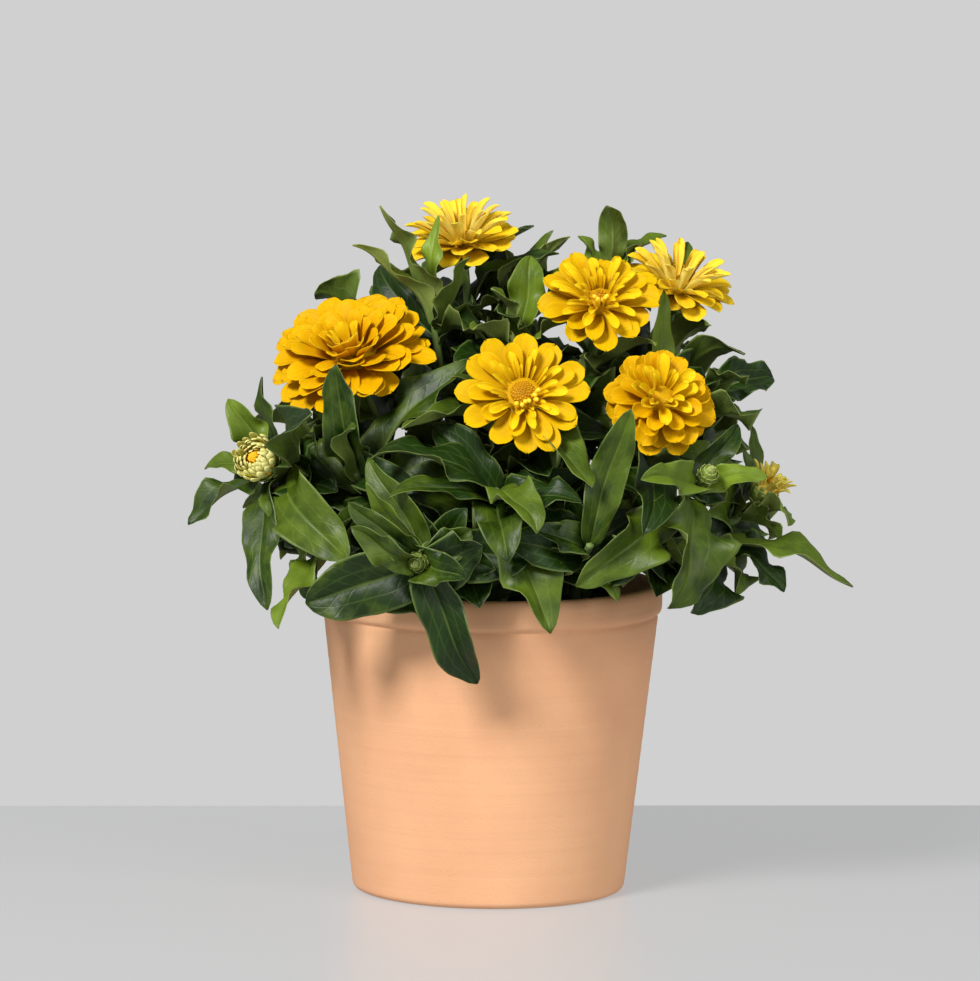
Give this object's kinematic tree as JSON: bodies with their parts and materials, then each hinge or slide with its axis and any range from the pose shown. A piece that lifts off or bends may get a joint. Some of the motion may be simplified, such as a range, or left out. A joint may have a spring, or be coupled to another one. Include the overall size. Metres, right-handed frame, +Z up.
{
  "type": "potted zinnia plant",
  "caption": "Bushy potted zinnia: golden double blooms, scaly green buds and leafy stems grown from dark soil in a flared terracotta pot with a banded rim and drain holes.",
  "frame": {"origin": "middle of the flat underside of the pot's foot, between the drain holes", "axes": "+Z up along the pot's axis, -Y towards the picture's viewer, +X to the viewer's right"},
  "size_m": [0.3153, 0.254, 0.3341],
  "materials": {
    "terracotta": "matte",
    "soil": "matte",
    "leaf": "matte",
    "petal": "matte",
    "disc": "matte",
    "young_petal": "matte"
  },
  "bodies": {
    "root": {"pot": "terracotta", "soil": "soil", "stem_back_left": "leaf", "petals_back_left": "petal", "disc_back_left": "disc", "stem_left": "leaf", "petals_left": "petal", "stem_upper_centre": "leaf", "petals_upper_centre": "petal", "disc_upper_centre": "disc", "stem_front": "leaf", "petals_front": "petal", "disc_front": "disc", "stem_right": "leaf", "petals_right": "petal", "stem_back_right": "leaf", "petals_back_right": "petal", "disc_back_right": "disc", "stem_far_left": "leaf", "petals_far_left": "young_petal", "stem_far_right": "leaf", "petals_far_right": "young_petal", "disc_far_right": "disc", "stem_right_bud": "leaf", "stem_front_left": "leaf", "stem_low_left": "leaf", "stem_upper_left": "leaf", "stem_centre": "leaf", "stem_top_centre": "leaf", "stem_far_right_upper": "leaf", "stem_low_right": "leaf", "stem_front_right": "leaf", "stem_front_middle": "leaf", "stem_left_rim": "leaf", "stem_rear_left": "leaf", "stem_rear_middle": "leaf", "stem_rear_right": "leaf", "stem_far_rear_right": "leaf", "stem_rear_top": "leaf", "stem_rear_upper_left": "leaf"}
  },
  "joints": []
}
